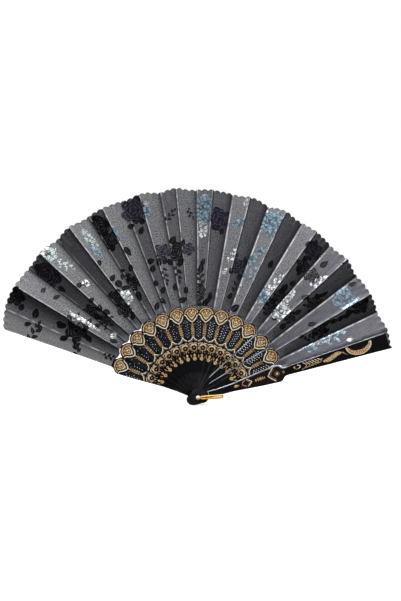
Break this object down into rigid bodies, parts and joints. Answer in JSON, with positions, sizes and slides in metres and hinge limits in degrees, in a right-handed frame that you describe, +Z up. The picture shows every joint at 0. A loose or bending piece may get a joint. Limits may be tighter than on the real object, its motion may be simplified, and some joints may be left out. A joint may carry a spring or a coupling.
{
  "type": "folding hand fan",
  "caption": "Folding hand fan with gilt pierced sticks, a pleated printed fabric leaf, a rivet pivot and a cord hanging loop, shown open.",
  "frame": {"origin": "on the rivet axis at mid depth of the stack of sticks", "axes": "+Z up along the middle of the open spread, -Y towards the decorated front, +X to the right seen from the front"},
  "size_m": [0.4246, 0.0235, 0.2301],
  "materials": {
    "stick_plastic": "polished black moulded plastic",
    "leaf_fabric": "grey satin weave with black and silver foil print",
    "rivet_metal": "polished",
    "washer_steel": "satin",
    "ring_brass": "satin",
    "loop_cord": "twisted metallic gold cord",
    "gilding": "hot-stamped gold print on the sticks"
  },
  "bodies": {
    "rear_guard_body": {"rear_guard": "stick_plastic", "leaf_glued_01": "leaf_fabric", "leaf_bridge_01": "leaf_fabric", "rivet": "rivet_metal", "rivet_burr": "washer_steel", "rivet_washer": "washer_steel"},
    "rib_body_01": {"rib_01": "stick_plastic", "leaf_glued_02": "leaf_fabric", "leaf_bridge_02": "leaf_fabric"},
    "rib_body_02": {"rib_02": "stick_plastic", "leaf_glued_03": "leaf_fabric", "leaf_bridge_03": "leaf_fabric"},
    "rib_body_03": {"rib_03": "stick_plastic", "leaf_glued_04": "leaf_fabric", "leaf_bridge_04": "leaf_fabric"},
    "rib_body_04": {"rib_04": "stick_plastic", "leaf_glued_05": "leaf_fabric", "leaf_bridge_05": "leaf_fabric"},
    "rib_body_05": {"rib_05": "stick_plastic", "leaf_glued_06": "leaf_fabric", "leaf_bridge_06": "leaf_fabric"},
    "rib_body_06": {"rib_06": "stick_plastic", "leaf_glued_07": "leaf_fabric", "leaf_bridge_07": "leaf_fabric"},
    "rib_body_07": {"rib_07": "stick_plastic", "leaf_glued_08": "leaf_fabric", "leaf_bridge_08": "leaf_fabric"},
    "rib_body_08": {"rib_08": "stick_plastic", "leaf_glued_09": "leaf_fabric", "leaf_bridge_09": "leaf_fabric"},
    "rib_body_09": {"rib_09": "stick_plastic", "leaf_glued_10": "leaf_fabric", "leaf_bridge_10": "leaf_fabric"},
    "rib_body_10": {"rib_10": "stick_plastic", "leaf_glued_11": "leaf_fabric", "leaf_bridge_11": "leaf_fabric"},
    "rib_body_11": {"rib_11": "stick_plastic", "leaf_glued_12": "leaf_fabric", "leaf_bridge_12": "leaf_fabric"},
    "rib_body_12": {"rib_12": "stick_plastic", "leaf_glued_13": "leaf_fabric", "leaf_bridge_13": "leaf_fabric"},
    "front_guard_body": {"front_guard": "stick_plastic", "leaf_glued_14": "leaf_fabric"},
    "loop_body": {"loop_ring": "ring_brass", "hanging_loop": "loop_cord"}
  },
  "joints": [
    {"name": "fold_01", "type": "hinge", "parent": "rear_guard_body", "child": "rib_body_01", "pos_m": [0, 0, 0], "axis": [0, -1, 0], "range_deg": [0, 11.5], "deforming": ["leaf_bridge_01"]},
    {"name": "fold_02", "type": "hinge", "parent": "rib_body_01", "child": "rib_body_02", "pos_m": [0, 0, 0], "axis": [0, -1, 0], "range_deg": [0, 10.9], "deforming": ["leaf_bridge_02"]},
    {"name": "fold_03", "type": "hinge", "parent": "rib_body_02", "child": "rib_body_03", "pos_m": [0, 0, 0], "axis": [0, -1, 0], "range_deg": [0, 10.6], "deforming": ["leaf_bridge_03"]},
    {"name": "fold_04", "type": "hinge", "parent": "rib_body_03", "child": "rib_body_04", "pos_m": [0, 0, 0], "axis": [0, -1, 0], "range_deg": [0, 10.3], "deforming": ["leaf_bridge_04"]},
    {"name": "fold_05", "type": "hinge", "parent": "rib_body_04", "child": "rib_body_05", "pos_m": [0, 0, 0], "axis": [0, -1, 0], "range_deg": [0, 10.6], "deforming": ["leaf_bridge_05"]},
    {"name": "fold_06", "type": "hinge", "parent": "rib_body_05", "child": "rib_body_06", "pos_m": [0, 0, 0], "axis": [0, -1, 0], "range_deg": [0, 10.2], "deforming": ["leaf_bridge_06"]},
    {"name": "fold_07", "type": "hinge", "parent": "rib_body_06", "child": "rib_body_07", "pos_m": [0, 0, 0], "axis": [0, -1, 0], "range_deg": [0, 10.2], "deforming": ["leaf_bridge_07"]},
    {"name": "fold_08", "type": "hinge", "parent": "rib_body_07", "child": "rib_body_08", "pos_m": [0, 0, 0], "axis": [0, -1, 0], "range_deg": [0, 10.6], "deforming": ["leaf_bridge_08"]},
    {"name": "fold_09", "type": "hinge", "parent": "rib_body_08", "child": "rib_body_09", "pos_m": [0, 0, 0], "axis": [0, -1, 0], "range_deg": [0, 10.8], "deforming": ["leaf_bridge_09"]},
    {"name": "fold_10", "type": "hinge", "parent": "rib_body_09", "child": "rib_body_10", "pos_m": [0, 0, 0], "axis": [0, -1, 0], "range_deg": [0, 10.2], "deforming": ["leaf_bridge_10"]},
    {"name": "fold_11", "type": "hinge", "parent": "rib_body_10", "child": "rib_body_11", "pos_m": [0, 0, 0], "axis": [0, -1, 0], "range_deg": [0, 11.7], "deforming": ["leaf_bridge_11"]},
    {"name": "fold_12", "type": "hinge", "parent": "rib_body_11", "child": "rib_body_12", "pos_m": [0, 0, 0], "axis": [0, -1, 0], "range_deg": [0, 11.9], "deforming": ["leaf_bridge_12"]},
    {"name": "fold_13", "type": "hinge", "parent": "rib_body_12", "child": "front_guard_body", "pos_m": [0, 0, 0], "axis": [0, -1, 0], "range_deg": [0, 12.3], "deforming": ["leaf_bridge_13"]},
    {"name": "loop_swing", "type": "hinge", "parent": "rear_guard_body", "child": "loop_body", "pos_m": [0, 0, 0], "axis": [0, -1, 0], "continuous": true}
  ],
  "couplings": [
    {"joint": "fold_02", "follows": "fold_01", "ratio": 0.94783},
    {"joint": "fold_03", "follows": "fold_01", "ratio": 0.92174},
    {"joint": "fold_04", "follows": "fold_01", "ratio": 0.89565},
    {"joint": "fold_05", "follows": "fold_01", "ratio": 0.92174},
    {"joint": "fold_06", "follows": "fold_01", "ratio": 0.88696},
    {"joint": "fold_07", "follows": "fold_01", "ratio": 0.88696},
    {"joint": "fold_08", "follows": "fold_01", "ratio": 0.92174},
    {"joint": "fold_09", "follows": "fold_01", "ratio": 0.93913},
    {"joint": "fold_10", "follows": "fold_01", "ratio": 0.88696},
    {"joint": "fold_11", "follows": "fold_01", "ratio": 1.0174},
    {"joint": "fold_12", "follows": "fold_01", "ratio": 1.0348},
    {"joint": "fold_13", "follows": "fold_01", "ratio": 1.0696}
  ]
}
